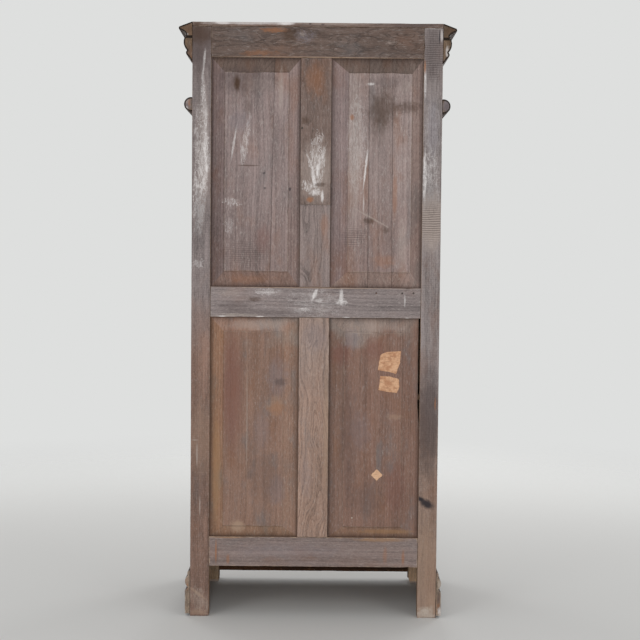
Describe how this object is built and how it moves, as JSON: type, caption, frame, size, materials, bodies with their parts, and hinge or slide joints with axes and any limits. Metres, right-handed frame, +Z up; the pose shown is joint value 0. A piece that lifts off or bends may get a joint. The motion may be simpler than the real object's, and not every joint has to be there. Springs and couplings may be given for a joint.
{
  "type": "wooden cabinet",
  "caption": "Tall narrow panelled oak cupboard with stepped cornice, half-round band and skirted base; doors hinge outwards over a shelved inside, with a key-worked lock.",
  "frame": {"origin": "on the floor, under the middle of the crown's outline", "axes": "+Z up, the doors face -Y and the plain back faces +Y; left and right are as seen from the front"},
  "size_m": [0.965, 0.583, 2.083],
  "materials": {
    "oak_frame": "dry, aged, open grain",
    "oak_panel": "dry, aged, open grain",
    "oak_moulding": "dark stain, worn wax",
    "oak_board": "dry, unfinished",
    "iron": "dark, forged, waxed"
  },
  "bodies": {
    "carcass": {"back_muntin_lower": "oak_frame", "back_muntin_patch": "oak_frame", "back_muntin_upper": "oak_frame", "back_panel_lower_left": "oak_panel", "back_panel_lower_right": "oak_panel", "back_panel_upper_left": "oak_panel", "back_panel_upper_right": "oak_panel", "back_rail_bottom": "oak_frame", "back_rail_middle": "oak_frame", "back_rail_top": "oak_frame", "bottom_board": "oak_board", "crown_moulding": "oak_moulding", "cushion_moulding": "oak_moulding", "front_rail_bottom": "oak_frame", "front_rail_frieze": "oak_frame", "hinge_halves_posts": "iron", "post_front_left": "oak_frame", "post_front_right": "oak_frame", "post_rear_left": "oak_frame", "post_rear_right": "oak_frame", "shelf_cleats": "oak_board", "shelf_lower": "oak_board", "shelf_upper": "oak_board", "side_panel_lower_left": "oak_panel", "side_panel_lower_right": "oak_panel", "side_panel_upper_left": "oak_panel", "side_panel_upper_right": "oak_panel", "side_rail_bottom_left": "oak_frame", "side_rail_bottom_right": "oak_frame", "side_rail_middle_left": "oak_frame", "side_rail_middle_right": "oak_frame", "side_rail_top_left": "oak_frame", "side_rail_top_right": "oak_frame", "skirt_front": "oak_moulding", "skirt_left": "oak_moulding", "skirt_right": "oak_moulding", "top_board": "oak_board", "torus_moulding": "oak_moulding"},
    "left_door": {"hinge_halves_left_door": "iron", "left_door_panel_lower": "oak_panel", "left_door_panel_upper": "oak_panel", "left_door_rail_bottom": "oak_frame", "left_door_rail_middle": "oak_frame", "left_door_rail_top": "oak_frame", "left_door_stile_hinge": "oak_frame", "left_door_stile_meeting": "oak_frame", "slide_bolt_plate": "iron"},
    "right_door": {"escutcheon": "iron", "hinge_halves_right_door": "iron", "lock_case": "iron", "right_door_panel_lower": "oak_panel", "right_door_panel_upper": "oak_panel", "right_door_rail_bottom": "oak_frame", "right_door_rail_middle": "oak_frame", "right_door_rail_top": "oak_frame", "right_door_stile_hinge": "oak_frame", "right_door_stile_meeting": "oak_frame"},
    "lock_bolt": {"lock_bolt": "iron"},
    "key": {"key": "iron"},
    "slide_bolt": {"slide_bolt": "iron"}
  },
  "joints": [
    {"name": "left_door_hinge", "type": "hinge", "parent": "carcass", "child": "left_door", "pos_m": [-0.3705, -0.252, 1.024], "axis": [0, 0, -1], "range_deg": [0, 180]},
    {"name": "right_door_hinge", "type": "hinge", "parent": "carcass", "child": "right_door", "pos_m": [0.3705, -0.252, 1.024], "axis": [0, 0, 1], "range_deg": [0, 180]},
    {"name": "key_turn", "type": "hinge", "parent": "right_door", "child": "key", "pos_m": [0.0345, -0.246, 1.113], "axis": [0, -1, 0], "range_deg": [0, 180]},
    {"name": "lock_bolt_slide", "type": "slide", "parent": "right_door", "child": "lock_bolt", "axis": [-1, 0, 0], "range_m": [0, 0.013]},
    {"name": "slide_bolt_lift", "type": "slide", "parent": "left_door", "child": "slide_bolt", "axis": [0, 0, 1], "range_m": [0, 0.024]}
  ],
  "couplings": [
    {"joint": "key_turn", "follows": "lock_bolt_slide", "rad_per_m": 241.66}
  ]
}
